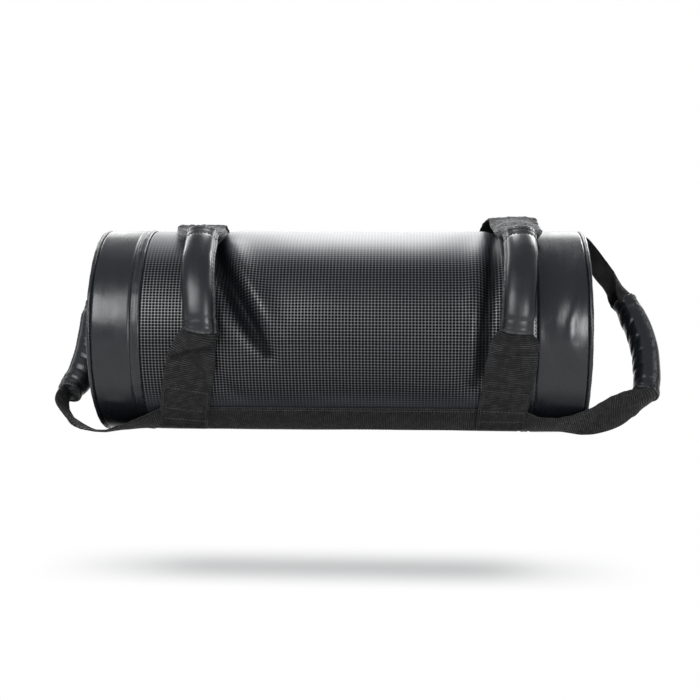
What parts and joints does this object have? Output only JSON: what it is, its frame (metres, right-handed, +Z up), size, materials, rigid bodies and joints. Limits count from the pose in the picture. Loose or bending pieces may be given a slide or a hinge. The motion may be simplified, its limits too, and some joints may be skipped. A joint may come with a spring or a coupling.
{
  "type": "sandbag trainer",
  "caption": "Round horizontal training bag of black vinyl filled with sand, with webbing sewn along it and padded loop handles at its ends and across its body.",
  "frame": {"origin": "middle of the flat that the bag rests on, under the middle of the bag's length", "axes": "+X along the bag, to the right as seen from its front; -Y is the front, with the lower webbing strip; +Z up"},
  "size_m": [0.6343, 0.2383, 0.2237],
  "materials": {
    "smooth_vinyl": "glossy smooth black vinyl",
    "embossed_vinyl": "semi-gloss black vinyl embossed with a fine square grid",
    "webbing": "matt black ribbed webbing",
    "foam": "soft grey foam",
    "liner_canvas": "plain woven sack",
    "sand": "dry sand"
  },
  "bodies": {
    "bag": {"left_end_band": "smooth_vinyl", "left_hem_strip": "smooth_vinyl", "main_panel": "embossed_vinyl", "right_hem_strip": "smooth_vinyl", "right_end_band": "smooth_vinyl", "left_piping": "smooth_vinyl", "right_piping": "smooth_vinyl", "left_end_disc": "smooth_vinyl", "right_end_disc": "smooth_vinyl", "left_end_pad": "foam", "right_end_pad": "foam", "foam_wrap": "foam", "liner_sack": "liner_canvas", "liner_tie": "smooth_vinyl", "sand_fill": "sand", "front_strip": "webbing", "rear_strip": "webbing", "left_front_lower_patch": "webbing", "left_front_upper_patch": "webbing", "right_front_lower_patch": "webbing", "right_front_upper_patch": "webbing"},
    "left_end_handle": {"left_end_webbing": "webbing", "left_end_sleeve": "smooth_vinyl", "left_end_foam": "foam"},
    "right_end_handle": {"right_end_webbing": "webbing", "right_end_sleeve": "smooth_vinyl", "right_end_foam": "foam"},
    "left_front_handle": {"left_front_webbing": "webbing", "left_front_sleeve": "smooth_vinyl", "left_front_foam": "foam"},
    "right_front_handle": {"right_front_webbing": "webbing", "right_front_sleeve": "smooth_vinyl", "right_front_foam": "foam"}
  },
  "joints": [
    {"name": "left_end_swing", "type": "hinge", "parent": "bag", "child": "left_end_handle", "pos_m": [-0.218, 0, 0.1032], "axis": [0, 0.5878, 0.809], "range_deg": [-8, 32]},
    {"name": "right_end_swing", "type": "hinge", "parent": "bag", "child": "right_end_handle", "pos_m": [0.218, 0, 0.1032], "axis": [0, 0.5878, 0.809], "range_deg": [-24, 24]},
    {"name": "left_front_swing", "type": "hinge", "parent": "bag", "child": "left_front_handle", "pos_m": [-0.1468, -0.04352, 0.14979], "axis": [-0.0352, 0.7312, 0.6812], "range_deg": [-9, 8]},
    {"name": "right_front_swing", "type": "hinge", "parent": "bag", "child": "right_front_handle", "pos_m": [0.1717, -0.04326, 0.15102], "axis": [0.0035, 0.7263, 0.6874], "range_deg": [-12, 10]}
  ]
}
